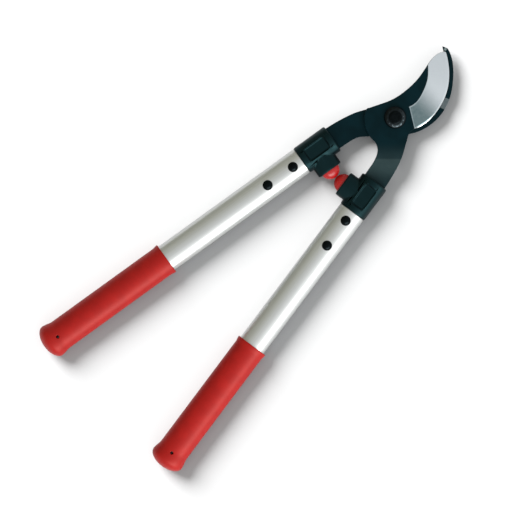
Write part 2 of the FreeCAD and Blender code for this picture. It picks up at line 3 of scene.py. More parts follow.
import bmesh
import bpy
import numpy as np
from bpy.props import FloatProperty, FloatVectorProperty, IntProperty, PointerProperty
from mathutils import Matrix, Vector


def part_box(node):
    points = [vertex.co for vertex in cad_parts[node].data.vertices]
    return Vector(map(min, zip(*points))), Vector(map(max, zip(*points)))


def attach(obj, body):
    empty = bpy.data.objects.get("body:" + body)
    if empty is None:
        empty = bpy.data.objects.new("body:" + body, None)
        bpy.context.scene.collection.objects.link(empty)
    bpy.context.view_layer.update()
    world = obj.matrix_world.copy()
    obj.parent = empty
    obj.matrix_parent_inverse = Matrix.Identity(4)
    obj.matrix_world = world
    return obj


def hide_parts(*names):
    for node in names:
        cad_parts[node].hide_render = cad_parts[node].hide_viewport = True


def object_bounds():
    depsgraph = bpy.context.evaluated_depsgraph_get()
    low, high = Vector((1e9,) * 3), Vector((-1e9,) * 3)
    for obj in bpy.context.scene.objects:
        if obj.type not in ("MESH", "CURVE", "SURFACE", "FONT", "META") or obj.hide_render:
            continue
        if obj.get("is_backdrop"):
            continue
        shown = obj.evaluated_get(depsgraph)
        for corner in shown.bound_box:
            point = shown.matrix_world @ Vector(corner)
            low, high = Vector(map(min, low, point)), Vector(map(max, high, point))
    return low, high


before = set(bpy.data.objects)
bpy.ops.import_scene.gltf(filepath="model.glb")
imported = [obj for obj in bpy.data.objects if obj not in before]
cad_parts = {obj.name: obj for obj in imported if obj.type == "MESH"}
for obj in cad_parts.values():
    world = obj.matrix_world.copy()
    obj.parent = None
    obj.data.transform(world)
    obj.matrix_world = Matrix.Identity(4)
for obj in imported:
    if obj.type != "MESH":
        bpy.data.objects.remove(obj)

bl_info = {
    "name": "Bypass loppers",
    "version": (1, 0, 0),
    "blender": (4, 5, 0),
    "location": "3D View > Sidebar > Loppers",
    "description": "Finished pieces, materials and stage for a pair of bypass loppers",
    "category": "Object",
}

MM = 0.001
SIDES = ("hook", "blade")


# ---------------------------------------------------------------- reading the frame

def node_points(node):
    """Corner points of a CAD node, one row each, in metres."""
    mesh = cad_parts[node].data
    points = np.empty(len(mesh.vertices) * 3)
    mesh.vertices.foreach_get("co", points)
    return points.reshape(-1, 3)


class Handle:
    """Frame of one handle: outward from the tool's centre line, backward from the tube's front, up.

    The axis joins the middles of the tube's two end rings, and up is measured from that axis.
    """

    def __init__(self, side):
        points = node_points(side + "_tube")
        middle = points.mean(0)
        long_axis = np.linalg.svd((points - middle)[:, :2], full_matrices=False)[2][0]
        reach = (points - middle)[:, :2] @ long_axis
        ends = [points[reach < reach.min() + 0.5 * MM], points[reach > reach.max() - 0.5 * MM]]
        front, rear = sorted([(end.min(0) + end.max(0)) / 2 for end in ends], key=lambda end: -end[1])
        self.side = side
        self.foot = front
        self.backward = (rear - front) / np.linalg.norm(rear - front)
        across = np.array([self.backward[1], -self.backward[0], 0.0])
        self.outward = across * np.sign(across[0] * front[0])
        self.axes = np.stack([self.outward, self.backward, [0, 0, 1]])

    def place(self, out, back, up):
        """Points given in the handle's frame, as rows in the model's frame."""
        out, back, up = np.broadcast_arrays(out, back, up)
        return self.foot + np.stack([out, back, up], -1) @ self.axes

    def extent(self, node):
        """Lowest and highest (outward, backward, up) of one of this side's nodes."""
        local = (node_points(self.side + "_" + node) - self.foot) @ self.axes.T
        return local.min(0), local.max(0)


HANDLES = {side: Handle(side) for side in SIDES}
BODY = {"hook": "hook_side", "blade": "blade_side"}


# ---------------------------------------------------------------- mesh making

def add_mesh(name, points, faces, smooth_angle=35):
    """Mesh object from rows of points and faces, turned so that its faces point outwards.

    The sign of the enclosed volume, the sum of a . (b x c) / 6 over the triangles, tells
    whether the faces have to be turned round.
    """
    volume = 0.0
    for block in faces:
        a = points[block[:, 0]]
        for corner in range(1, block.shape[1] - 1):
            b, c = points[block[:, corner]], points[block[:, corner + 1]]
            volume += np.einsum("ij,ij->", a, np.cross(b, c))
    turned = [block[:, ::-1] if volume < 0 else block for block in faces]
    rows = [row for block in turned for row in block.tolist()]
    mesh = bpy.data.meshes.new(name)
    mesh.from_pydata(points.tolist(), [], rows)
    mesh.shade_smooth()
    mesh.set_sharp_from_angle(angle=math.radians(smooth_angle))
    piece = bpy.data.objects.new(name, mesh)
    bpy.context.scene.collection.objects.link(piece)
    return piece


def skin(rings, start=None, end=None, closed=False):
    """Points and faces of a surface through equal closed rings, an array (ring, corner, 3).

    Corner j of ring i joins corner j of ring i + 1. start and end are single points that
    close the first and the last ring with a fan; closed joins the last ring to the first.
    """
    count, corners = rings.shape[:2]
    points = rings.reshape(-1, 3)
    index = np.arange(count * corners).reshape(count, corners)
    if closed:
        index = np.vstack([index, index[:1]])
    after = np.roll(index, -1, axis=1)
    quads = np.stack([index[:-1], after[:-1], after[1:], index[1:]], -1).reshape(-1, 4)
    faces = [quads]
    for pole, ring, following in ((start, index[0], after[0]), (end, index[-1], after[-1])):
        if pole is None:
            continue
        tip = np.full(corners, len(points))
        points = np.vstack([points, pole])
        fan = np.stack([tip, following, ring], -1)
        faces.append(fan if pole is start else fan[:, ::-1])
    return points, faces


def turn(count):
    """Evenly spaced angles of one full turn."""
    return np.linspace(0, 2 * math.pi, count, endpoint=False)


def ovals(handle, half, rise, back, corners):
    """Rings across a handle: ring i is the ellipse with half width half[i] and half height rise[i]."""
    angle = turn(corners)[None]
    half, rise, back = (np.asarray(value, float)[:, None] for value in (half, rise, back))
    return handle.place(half * np.cos(angle), back, rise * np.sin(angle))


def arc(centre, radius, start, stop, steps):
    """Points on a quarter or other part of a circle in a profile; angles in degrees."""
    angle = np.radians(np.linspace(start, stop, steps))
    return np.stack([centre[0] + radius * np.cos(angle), centre[1] + radius * np.sin(angle)], -1)


def finish_piece(piece, nodes, finishes, body):
    """Give a finished piece its materials and its body, and hide the CAD nodes it stands for."""
    for finish in finishes:
        piece.data.materials.append(finish)
    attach(piece, body)
    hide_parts(*nodes)


def refinish(node, finish):
    """Give a CAD node that stays as it is its material."""
    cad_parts[node].material_slots[0].material = finish


def welded(node):
    """Points and triangles of a CAD node with the corners that faces share made one."""
    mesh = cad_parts[node].data
    points = node_points(node)
    mesh.calc_loop_triangles()
    corners = np.empty(len(mesh.loop_triangles) * 3, np.int64)
    mesh.loop_triangles.foreach_get("vertices", corners)
    key = np.round(points * 1e7).astype(np.int64)
    _, first, same = np.unique(key, axis=0, return_index=True, return_inverse=True)
    triangles = same.reshape(-1)[corners].reshape(-1, 3)
    whole = (triangles[:, 0] != triangles[:, 1]) & (triangles[:, 1] != triangles[:, 2])
    return points[first], triangles[whole & (triangles[:, 2] != triangles[:, 0])]


def softened(node, name, width, zones=None, sharp=25, segments=3, clamp=False):
    """Copy of a CAD node with rounded edges.

    Flat faces are joined, the edges that turn by more than sharp degrees are rounded to
    width, and zones, a function of face centres and normals, gives each face its material.
    Other edges between two materials are rounded half as much. clamp stops the rounding
    where it would run into the next edge.
    """
    points, triangles = welded(node)
    piece = add_mesh(name, points, [triangles])
    work = bmesh.new()
    work.from_mesh(piece.data)
    if zones:
        work.faces.ensure_lookup_table()
        centres = np.array([face.calc_center_median() for face in work.faces])
        normals = np.array([face.normal for face in work.faces])
        for face, zone in zip(work.faces, zones(centres, normals)):
            face.material_index = int(zone)
    bmesh.ops.dissolve_limit(work, angle_limit=math.radians(0.2), verts=work.verts[:],
                             edges=work.edges[:], delimit={"MATERIAL"})
    weight = work.edges.layers.float.new("bevel_weight_edge")
    for edge in work.edges:
        if len(edge.link_faces) != 2:
            continue
        first, second = edge.link_faces
        if edge.calc_face_angle() > math.radians(sharp):
            edge[weight] = 1.0
        elif first.material_index != second.material_index:
            edge[weight] = 0.5
    work.to_mesh(piece.data)
    work.free()
    piece.data.shade_smooth()
    bevel = piece.modifiers.new("Rounded edges", "BEVEL")
    bevel.width = width
    bevel.segments = segments
    bevel.limit_method = "WEIGHT"
    bevel.use_clamp_overlap = clamp
    bevel.harden_normals = True
    return piece


# ---------------------------------------------------------------- shader maths

class Value:
    """A number that varies over a surface: the output socket that carries it."""

    def __init__(self, shader, socket):
        self.shader = shader
        self.socket = socket

    def _maths(self, operation, other):
        return self.shader.node("ShaderNodeMath", {"operation": operation}, {0: self, 1: other})

    def __add__(self, other):
        return self._maths("ADD", other)

    __radd__ = __add__

    def __mul__(self, other):
        return self._maths("MULTIPLY", other)

    __rmul__ = __mul__


class Shader:
    """A node tree in the making, whose last node's sockets are set at the end."""

    def __init__(self, owner, last="Principled BSDF"):
        owner.use_nodes = True
        self.owner = owner
        self.tree = owner.node_tree
        self.last = self.tree.nodes[last]

    def node(self, kind, settings, inputs, output=0):
        """Add a node: its settings first, then the values or links of its sockets."""
        made = self.tree.nodes.new(kind)
        for name, value in settings.items():
            setattr(made, name, value)
        for name, value in inputs.items():
            if isinstance(value, Value):
                self.tree.links.new(value.socket, made.inputs[name])
            else:
                made.inputs[name].default_value = value
        return Value(self, made.outputs[output])

    def place(self, stretch=(1, 1, 1), turned=0.0):
        """Object coordinates in millimetres, stretched and then turned about Z by degrees."""
        coordinates = self.node("ShaderNodeTexCoord", {}, {}, "Object")
        inputs = {"Vector": coordinates, "Rotation": (0, 0, math.radians(turned)),
                  "Scale": tuple(1000 * one for one in stretch)}
        return self.node("ShaderNodeMapping", {"vector_type": "POINT"}, inputs)

    def flow(self, stretch):
        """The piece's own coordinates in millimetres, up, along and out from its handle, stretched."""
        stored = self.node("ShaderNodeAttribute", {"attribute_name": "flow"}, {}, "Vector")
        return self.node("ShaderNodeMapping", {"vector_type": "POINT"}, {"Vector": stored, "Scale": stretch})

    def parts(self, vector):
        """The three components of a vector."""
        split = self.node("ShaderNodeSeparateXYZ", {}, {"Vector": vector})
        sockets = split.socket.node.outputs
        return tuple(Value(self, sockets[index]) for index in range(3))

    def noise(self, vector, scale, detail, roughness=0.55):
        """Soft random value from 0 to 1; scale counts its grains per millimetre."""
        inputs = {"Vector": vector, "Scale": scale, "Detail": detail, "Roughness": roughness}
        return self.node("ShaderNodeTexNoise", {"noise_dimensions": "3D"}, inputs, "Fac")

    def grade(self, value, low, high, to_low=0.0, to_high=1.0):
        """value carried smoothly from low..high to to_low..to_high, and held at the ends."""
        inputs = {"Value": value, 1: low, 2: high, 3: to_low, 4: to_high}
        return self.node("ShaderNodeMapRange", {"interpolation_type": "SMOOTHSTEP"}, inputs)

    def blend(self, factor, first, second):
        """Colour from first to second as factor goes from 0 to 1.

        A Mix node takes its two colours at inputs 6 and 7 and gives the mixed one at output 2.
        """
        first, second = (one if isinstance(one, Value) else (*one, 1) for one in (first, second))
        return self.node("ShaderNodeMix", {"data_type": "RGBA"}, {0: factor, 6: first, 7: second}, 2)

    def bump(self, height, depth, normal=None):
        """Normal tilted by a height that goes from 0 to 1 over depth metres."""
        inputs = {"Height": height, "Distance": depth, "Strength": 1.0}
        if normal is not None:
            inputs["Normal"] = normal
        return self.node("ShaderNodeBump", {}, inputs)

    def set(self, **sockets):
        """Set or link the last node's sockets; an underscore stands for a space."""
        for name, value in sockets.items():
            socket = self.last.inputs[name.replace("_", " ")]
            if isinstance(value, Value):
                self.tree.links.new(value.socket, socket)
            else:
                socket.default_value = (*value, 1) if socket.type == "RGBA" else value
        return self.owner


def material(name):
    """Shader of a new material."""
    return Shader(bpy.data.materials.new(name))


def scaled(colour, times):
    """Colour with each of its three parts multiplied by times."""
    return tuple(times * one for one in colour)


# ---------------------------------------------------------------- materials

def bend_sheen(shader):
    """Painted sheen along the blade's arm, where the slope of the bend catches the light: it grows up to the
    bend, is full there and fades towards the socket.

    The station is the distance from the pivot, in mm, along a line 45 degrees right of backward.
    The painted sheen grows slowly from 24 to 42 and at a step from 40.5 to 42.5, and fades from 46 to 72.
    """
    station = shader.parts(shader.place(turned=135))[1]
    grown = shader.grade(station, 24.0, 42.0, 0.0, 0.4) + shader.grade(station, 40.5, 42.5, 0.0, 0.6)
    return grown * shader.grade(station, 46.0, 72.0, 1.0, 0.2)


def barb_pale_spot(shader):
    """Paler spot on the barb at the hook's tip: full up to 0.8 mm from its middle and gone at 1.7 mm."""
    barb = (-13.5, 83.8, 13.2)
    distance = shader.node("ShaderNodeVectorMath", {"operation": "DISTANCE"}, {0: shader.place(), 1: barb},
                           "Value")
    return shader.grade(distance, 1.7, 0.8)


def coated_steel(name, colour, edge, paling_colour, paling_mask):
    """Stamped steel under a thin dark coat: fine pebble, patchy gloss, and paler where the given mask is
    high:
    a painted sheen over the blade's bend, and a paler spot at the hook's barb.
    """
    shader = material(name)
    place = shader.place()
    grain = shader.noise(place, 1.6, 4.0)
    patch = shader.noise(place, 0.05, 2.0)
    pebble = shader.noise(place, 3.0, 2.0)
    base = shader.blend(shader.grade(patch, 0.35, 0.7), colour, scaled(colour, 1.5))
    base = shader.blend(shader.grade(grain, 0.62, 0.8, 0.0, 0.35), base, edge)
    # Paler where the mask is high: a painted sheen on the blade's bend, a paler spot on the hook's barb.
    paling = paling_mask(shader) * shader.grade(patch + 0.3 * grain, 0.3, 0.9, 0.7, 1.0)
    base = shader.blend(paling, base, paling_colour)
    roughness = shader.grade(patch + 0.25 * grain, 0.4, 0.9, 0.3, 0.42)
    return shader.set(Base_Color=base, Roughness=roughness, Specular_IOR_Level=0.1,
                      Specular_Tint=(0.5, 0.95, 1.0), Normal=shader.bump(pebble, 0.02 * MM))


def ground_steel(name, near, far, heel, tip, crest, start=None):
    """Ground steel: fine wheel marks, painted shade that darkens it towards the heel, and painted highlights
    that are paler lines at the crest and start.

    heel and tip are stations along Y, crest is the height of the ground face's upper rim and start
    is how far its straight end lies from the pivot, 30.6 degrees right of forward, all in mm.
    """
    shader = material(name)
    marks = shader.noise(shader.place((0.35, 7.0, 1), -25), 1.0, 3.0, 0.6)
    _, along, height = shader.parts(shader.place())
    # Painted shade: the ground face darkens from the tip towards the heel, where it reflects less light.
    tone = shader.blend(shader.grade(along, heel, tip), near, far)
    # Painted highlight: a paler line along the ground face's upper rim.
    crest_highlight = shader.grade(height, crest - 0.3, crest - 0.05, 0.0, 0.6)
    tone = shader.blend(crest_highlight, tone, (0.4, 0.46, 0.48))
    if start:
        # Painted highlight: a paler line along the ground face's straight end.
        ahead = shader.parts(shader.place(turned=30.6))[1]
        start_highlight = shader.grade(ahead, start + 1.3, start + 0.9, 0.0, 0.6)
        tone = shader.blend(start_highlight, tone, (0.24, 0.3, 0.32))
    base = shader.blend(shader.grade(marks, 0.35, 0.75, 0.0, 0.12), tone, (0.9, 0.92, 0.93))
    roughness = shader.grade(marks, 0.3, 0.7, 0.28, 0.38)
    return shader.set(Base_Color=base, Roughness=roughness, Metallic=1.0,
                      Normal=shader.bump(marks, 0.003 * MM))


def honed_steel(name, colour, near, far, heel, tip, brink):
    """Narrow bevel, honed bright up to the height brink, in mm, and above it like the ground face.

    The bright honing is partly a painted highlight: it fades over 12 mm past the station tip, where the
    edge no longer catches the light. The bevel is dark, near the coat's colour, up to station 8 and takes
    its full tone from station 12 on.
    """
    shader = material(name)
    marks = shader.noise(shader.place((5.0, 0.5, 1), -25), 1.0, 2.0)
    _, along, height = shader.parts(shader.place())
    # Painted highlight: the honed line is bright only up to the tip, where the edge catches the light.
    honed = shader.grade(height, brink + 0.15, brink - 0.1) * shader.grade(along, tip + 12, tip)
    # Painted shade: darker towards the heel, as on the ground face.
    ground = shader.blend(shader.grade(along, heel, tip), near, far)
    tone = shader.blend(honed, ground, colour)
    tone = shader.blend(shader.grade(along, 8, 12), (0.01, 0.018, 0.02), tone)
    base = shader.blend(shader.grade(marks, 0.3, 0.7, 0.0, 0.15), tone, (0.5, 0.52, 0.52))
    return shader.set(Base_Color=base, Roughness=shader.grade(marks, 0.3, 0.7, 0.2, 0.3), Metallic=1.0)


def moulded_nylon(name, colour):
    """Glass-filled nylon: fine spark texture and slight flow marks."""
    shader = material(name)
    place = shader.place()
    spark = shader.noise(place, 2.4, 3.0)
    flow = shader.noise(shader.place((0.05, 0.2, 0.2), 8), 1.0, 3.0)
    base = shader.blend(shader.grade(flow, 0.35, 0.7), colour, scaled(colour, 1.6))
    roughness = shader.grade(flow + 0.3 * spark, 0.45, 0.9, 0.32, 0.46)
    return shader.set(Base_Color=base, Roughness=roughness, Specular_IOR_Level=0.25,
                      Specular_Tint=(0.34, 0.92, 1.0), Normal=shader.bump(spark, 0.03 * MM))


def anodised_aluminium(name, colour):
    """Satin anodised tube: extrusion lines along it and a faint cloudiness."""
    shader = material(name)
    lines = shader.noise(shader.flow((1.6, 0.012, 1)), 1.0, 5.0, 0.65)
    cloud = shader.noise(shader.flow((0.08, 0.03, 1)), 1.0, 2.0)
    base = shader.blend(shader.grade(lines, 0.3, 0.75, 0.0, 0.4), colour, scaled(colour, 0.8))
    roughness = shader.grade(cloud + 0.4 * lines, 0.5, 0.95, 0.33, 0.4)
    return shader.set(Base_Color=base, Roughness=roughness, Metallic=0.9,
                      Normal=shader.bump(lines, 0.008 * MM))


def dipped_vinyl(name, colour, deep):
    """Dipped vinyl: smooth skin with slow waves, small pits and a slightly mottled red."""
    shader = material(name)
    place = shader.place()
    waves = shader.noise(place, 0.09, 2.0)
    pits = shader.noise(place, 1.3, 3.0)
    base = shader.blend(shader.grade(waves, 0.3, 0.7), colour, deep)
    roughness = shader.grade(pits, 0.3, 0.75, 0.43, 0.53)
    rippled = shader.bump(waves, 0.12 * MM)
    return shader.set(Base_Color=base, Roughness=roughness, Specular_IOR_Level=0.58,
                      Specular_Tint=(1.0, 0.42, 0.38),
                      Normal=shader.bump(pits, 0.015 * MM, rippled))


def red_rubber(name, colour, deep):
    """Shiny moulded rubber with a hint of bloom."""
    shader = material(name)
    bloom = shader.noise(shader.place(), 0.5, 3.0)
    base = shader.blend(shader.grade(bloom, 0.35, 0.7), colour, deep)
    roughness = shader.grade(bloom, 0.3, 0.75, 0.22, 0.34)
    return shader.set(Base_Color=base, Roughness=roughness, Specular_IOR_Level=0.4,
                      Normal=shader.bump(bloom, 0.02 * MM))


def blacked_metal(name, colour, highlight_colour=None, ring=0.0):
    """Blacked fastener: smooth, glossy and faintly uneven, with a paler ring about the Z axis
    that is a painted highlight.

    ring is the radius in mm where the painted highlight is strongest; it fades over 2.2 mm on both sides, and
    it grows from a third at 5 mm on the -X side to its full strength at 6 mm on the +X side, which faces the
    soft box.
    """
    shader = material(name)
    place = shader.place()
    mottle = shader.noise(place, 0.9, 4.0)
    base = shader.blend(shader.grade(mottle, 0.35, 0.75), colour, scaled(colour, 2))
    if highlight_colour:
        flat = shader.node("ShaderNodeVectorMath", {"operation": "MULTIPLY"}, {0: place, 1: (1, 1, 0)})
        radius = shader.node("ShaderNodeVectorMath", {"operation": "LENGTH"}, {0: flat}, "Value")
        # Painted highlight: the ring of bars paler, most on the +X side that faces the soft box.
        band = shader.grade(radius, ring - 2.2, ring - 0.8) * shader.grade(radius, ring + 2.2, ring + 0.8)
        side = shader.grade(shader.parts(place)[0], -5, 6, 0.33, 1.0)
        paling = band * side * shader.grade(mottle, 0.3, 0.6, 0.6, 1.0)
        base = shader.blend(paling, base, highlight_colour)
    roughness = shader.grade(mottle, 0.3, 0.75, 0.14, 0.26)
    return shader.set(Base_Color=base, Roughness=roughness, Metallic=1.0,
                      Normal=shader.bump(mottle, 0.012 * MM))


def plated_metal(name, colour, stain):
    """Plated or sintered metal with soft stains."""
    shader = material(name)
    place = shader.place()
    stains = shader.noise(place, 0.35, 4.0)
    fine = shader.noise(place, 3.0, 2.0)
    base = shader.blend(shader.grade(stains, 0.35, 0.7), colour, stain)
    roughness = shader.grade(stains + 0.3 * fine, 0.45, 0.9, 0.28, 0.46)
    return shader.set(Base_Color=base, Roughness=roughness, Metallic=1.0,
                      Normal=shader.bump(fine, 0.008 * MM))


# ---------------------------------------------------------------- settings

def colour_setting(name, description, default):
    """Colour shown in the panel, in linear red, green and blue."""
    return FloatVectorProperty(name=name, description=description, subtype="COLOR", size=3,
                               min=0, max=1, default=default)


def length_setting(name, description, default):
    """Length shown in the panel, in metres."""
    return FloatProperty(name=name, description=description, subtype="DISTANCE", unit="LENGTH",
                         min=0, default=default)


class LopperHeadSettings(bpy.types.PropertyGroup):
    """Sizes and colours of the levers and the pivot."""

    coat: colour_setting("Coat", "Dark coat of the two levers", (0.0006, 0.006, 0.0085))
    coat_edge: colour_setting("Coat fleck", "Paler flecks in the coat", (0.004, 0.014, 0.017))
    # The next colour is a painted sheen on the coat where the slope of the blade's bend catches the light.
    coat_bend_sheen: colour_setting("Bend sheen", "Coat over the bend of the blade's arm", (0.027, 0.044, 0.046))
    # The next colour makes a paler spot on the hook's barb.
    coat_barb_spot: colour_setting("Pale barb spot", "Paler spot at the barb of the hook", (0.2, 0.25, 0.25))
    steel_groove: colour_setting("Groove", "Sap groove across the hook", (0.1, 0.128, 0.136))
    # The heel's darker steel is painted shade; the tip's steel is the lit tone.
    steel_heel_shaded: colour_setting("Steel at the heel", "Ground steel near the pivot", (0.077, 0.12, 0.127))
    steel_tip: colour_setting("Steel at the tip", "Ground steel near the tip", (0.53, 0.565, 0.59))
    # The honed colour is the edge's own bright steel; how far along it shows is a painted highlight.
    steel_honed: colour_setting("Honed steel", "Narrow bevel along the cutting edge", (0.8, 0.82, 0.83))
    fastener: colour_setting("Fastener black", "Bolt head and rivets", (0.004, 0.0055, 0.006))
    # The next colour is a painted highlight on the ring of bars round the bolt's head.
    fastener_highlight: colour_setting("Fastener highlight", "Ring round the bolt's head", (0.036, 0.046, 0.05))
    edge_round: length_setting("Edge rounding", "Rounding of the stamped edges", 0.4 * MM)
    bar_height: length_setting("Bar height", "Height of the raised bars round the bolt's head", 0.22 * MM)
    ring_depth: length_setting("Ring depth", "Depth of the ring in the bolt's head", 0.25 * MM)


class LopperHandleSettings(bpy.types.PropertyGroup):
    """Sizes and colours of the handles."""

    nylon: colour_setting("Nylon", "Sockets", (0.0002, 0.001, 0.0015))
    aluminium: colour_setting("Aluminium", "Handle tubes", (0.57, 0.58, 0.57))
    vinyl: colour_setting("Vinyl", "Grips", (0.315, 0.003, 0.002))
    vinyl_deep: colour_setting("Deep vinyl", "Darker patches of the grips", (0.275, 0.002, 0.0015))
    rubber: colour_setting("Rubber", "Bumpers", (0.37, 0.005, 0.005))
    rubber_deep: colour_setting("Deep rubber", "Darker patches of the bumpers", (0.3, 0.004, 0.004))
    socket_round: length_setting("Socket rounding", "Rounding of the moulding's edges", 0.75 * MM)
    corners: IntProperty(name="Corners", description="Corners round a tube or grip", min=24, default=128)


class LopperStageSettings(bpy.types.PropertyGroup):
    """Camera, floor and lights."""

    turned: FloatProperty(name="Camera turn", description="Turn of the camera about the vertical",
                          subtype="ANGLE", unit="ROTATION", default=math.radians(45.5))
    aim: FloatVectorProperty(name="Aim", description="Place that the camera is square above", size=2,
                             subtype="XYZ", unit="LENGTH", default=(1.25 * MM, -196.05 * MM))
    frame_width: length_setting("Frame width", "Width of floor that the camera sees", 512 * MM)
    lens: FloatProperty(name="Lens", description="Focal length in millimetres", min=1, default=300)
    floor: colour_setting("Floor", "Grey card, which the floor lamp lights to white", (0.4, 0.4, 0.404))
    world: FloatProperty(name="Room light", description="Strength of the light from all round",
                         min=0, default=0.85)
    lean: FloatProperty(name="Lean of the room light", description="How much brighter the room is towards +X",
                        min=0, default=0.5)
    box_power: FloatProperty(name="Soft box", description="Power of the soft box, which lights the tool",
                             unit="POWER", min=0, default=25)
    lamp_strength: FloatProperty(name="Floor lamp", description="Strength of the lamp that lights the floor",
                                 min=0, default=9.6)
    lamp_angle: FloatProperty(name="Floor lamp's width", description="A wider lamp gives softer shadows",
                              subtype="ANGLE", unit="ROTATION", min=0, default=math.radians(36))


# ---------------------------------------------------------------- levers

class LOPPERS_OT_levers(bpy.types.Operator):
    """Make the hook and the cutting blade: coated stamped plates with ground working faces"""

    bl_idname = "loppers.levers"
    bl_label = "Levers"

    def execute(self, context):
        look = context.scene.lopper_head
        low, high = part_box("pivot_bush")
        lower, upper = low.z, high.z
        heel, tip, start, brink = 20.0, 52.0, 16.2, lower / MM + 0.6
        # near is the heel's tone, darkened as painted shade, and far is the tip's lit tone.
        near, far = look.steel_heel_shaded, look.steel_tip
        # The blade's coat carries a painted sheen over the bend of its arm.
        blade_coat = coated_steel("blade_coat", look.coat, look.coat_edge, look.coat_bend_sheen, bend_sheen)
        hook_coat = coated_steel("hook_coat", look.coat, look.coat_edge, look.coat_barb_spot, barb_pale_spot)
        ground = ground_steel("blade_ground", near, far, heel, tip, upper / MM, start)
        honed = honed_steel("blade_honed", look.steel_honed, near, far, heel, tip, brink)
        bare = ground_steel("hook_bare", look.steel_groove, look.steel_groove, 0.0, 1.0, upper / MM)

        def blade_zones(centres, normals):
            """1 on the ground face, 2 on the narrow bevel low along the cutting edge and 0 elsewhere.

            Both are more than 3 mm ahead of the pivot and face more upwards than sideways.
            """
            ahead = (normals[:, 2] > 0.6) & (centres[:, 1] > 3 * MM)
            cut_down = ahead & (centres[:, 2] < upper - 0.02 * MM)
            lowest = ahead & (centres[:, 2] < lower + 0.95 * MM)
            return cut_down.astype(int) + lowest

        def hook_zones(centres, normals):
            """1 on the flat floor of the sap groove, which is sunk in the hook's face, and 0 elsewhere."""
            sunk = (centres[:, 2] < lower - 0.5 * MM) & (normals[:, 2] > 0.9)
            return sunk & (centres[:, 1] > 30 * MM)

        blade = softened("cutting_blade", "blade_lever", look.edge_round, blade_zones)
        finish_piece(blade, ["cutting_blade"], [blade_coat, ground, honed], BODY["blade"])
        hook = softened("hook_blade", "hook_lever", look.edge_round, hook_zones)
        finish_piece(hook, ["hook_blade"], [hook_coat, bare], BODY["hook"])
        return {"FINISHED"}


# ---------------------------------------------------------------- pivot

def revolved(name, profile, corners, lift=None, hollow=False):
    """Solid of revolution about the pivot axis from a profile of (radius, height) rows.

    The point at angle t of row i is (r cos t, r sin t, z), and lift(r, z, t) may raise z. The
    first and the last row lie on the axis, or on a hollow solid the rows go round its section.
    """
    angle = turn(corners)[None]
    rows = profile if hollow else profile[1:-1]
    radius, height = rows[:, :1], rows[:, 1:]
    if lift:
        height = height + lift(radius, height, angle)
    rings = np.stack(np.broadcast_arrays(radius * np.cos(angle), radius * np.sin(angle), height), -1)
    if hollow:
        return add_mesh(name, *skin(rings, closed=True))
    ends = [np.array([0, 0, row[1]]) for row in (profile[0], profile[-1])]
    return add_mesh(name, *skin(rings, *ends))


class LOPPERS_OT_pivot(bpy.types.Operator):
    """Make the pivot: domed bolt, washer, bush, toothed nut, lock plate and its screw"""

    bl_idname = "loppers.pivot"
    bl_label = "Pivot"
    bar_circle = 8.4 * MM

    def execute(self, context):
        self.bolt(context.scene.lopper_head)
        zinc = plated_metal("zinc_plate", (0.55, 0.56, 0.56), (0.42, 0.43, 0.42))
        for node, width in (("pivot_nut", 0.1), ("lock_plate", 0.25), ("lock_screw", 0.2)):
            piece = softened(node, node + "_part", width * MM, segments=2, clamp=True)
            finish_piece(piece, [node], [zinc], BODY["hook"])
        refinish("pivot_bush", plated_metal("sintered_bronze", (0.42, 0.27, 0.13), (0.3, 0.2, 0.1)))
        self.washer()
        return {"FINISHED"}

    def bolt(self, look):
        """Bolt from its thread's end up its journal to its domed head.

        At angle t from 0 to 90 degrees the dome's radius is flat + (head - flat) cos t and its height
        grows as sin t to the power 0.9. A bell-shaped ring, exp(-(distance / width)^2), is sunk in it.
        """
        low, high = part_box("pivot_bolt")
        keyed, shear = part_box("hook_blade")[0].z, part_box("pivot_bush")[0].z
        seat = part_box("thrust_washer")[1].z
        head, journal, thread = high.x, 6.0 * MM, 5.0 * MM
        flat, rim, ease, chamfer = 3.0 * MM, 0.7 * MM, 0.3 * MM, 0.6 * MM
        ring, ring_width = 6.4 * MM, 0.55 * MM
        angle = np.radians(np.linspace(0, 90, 44))
        radius = flat + (head - flat) * np.cos(angle)
        height = seat + rim + (high.z - seat - rim) * np.sin(angle) ** 0.9
        height -= look.ring_depth * np.exp(-((radius - ring) / ring_width) ** 2)
        shaft = [(0, low.z), (thread - chamfer, low.z), (thread, low.z + chamfer), (thread, keyed),
                 (journal, keyed), (journal, shear), (journal, seat), (head - ease, seat),
                 (head, seat + ease)]
        profile = np.vstack([shaft, np.stack([radius, height], -1), [(0, high.z)]])

        def bars(r, z, t):
            """14 raised bars: a bell, exp(-(distance / width)^4), times 1 / (1 + exp(-8 sin 14t - 1))."""
            bell = np.exp(-((r - self.bar_circle) / (0.75 * MM)) ** 4) * (z > seat + 0.1 * MM)
            return look.bar_height * bell / (1 + np.exp(-8 * np.sin(14 * t) - 1))

        piece = revolved("bolt", profile, 360, bars)
        black = blacked_metal("black_fastener", look.fastener, look.fastener_highlight, self.bar_circle / MM)
        finish_piece(piece, ["pivot_bolt"], [black], BODY["hook"])

    def washer(self):
        """Thrust washer: a flat ring with eased corners that stays a hair clear of its neighbours."""
        low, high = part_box("thrust_washer")
        ease, clear, bore = 0.12 * MM, 0.01 * MM, 6.1 * MM
        bottom, top, rim = low.z + clear, high.z - clear, high.x
        section = np.array([(bore + ease, bottom), (rim - ease, bottom), (rim, bottom + ease),
                            (rim, top - ease), (rim - ease, top), (bore + ease, top),
                            (bore, top - ease), (bore, bottom + ease)])
        piece = revolved("washer", section, 96, hollow=True)
        white = moulded_nylon("washer_white", (0.4, 0.4, 0.38))
        finish_piece(piece, ["thrust_washer"], [white], BODY["hook"])


# ---------------------------------------------------------------- handles

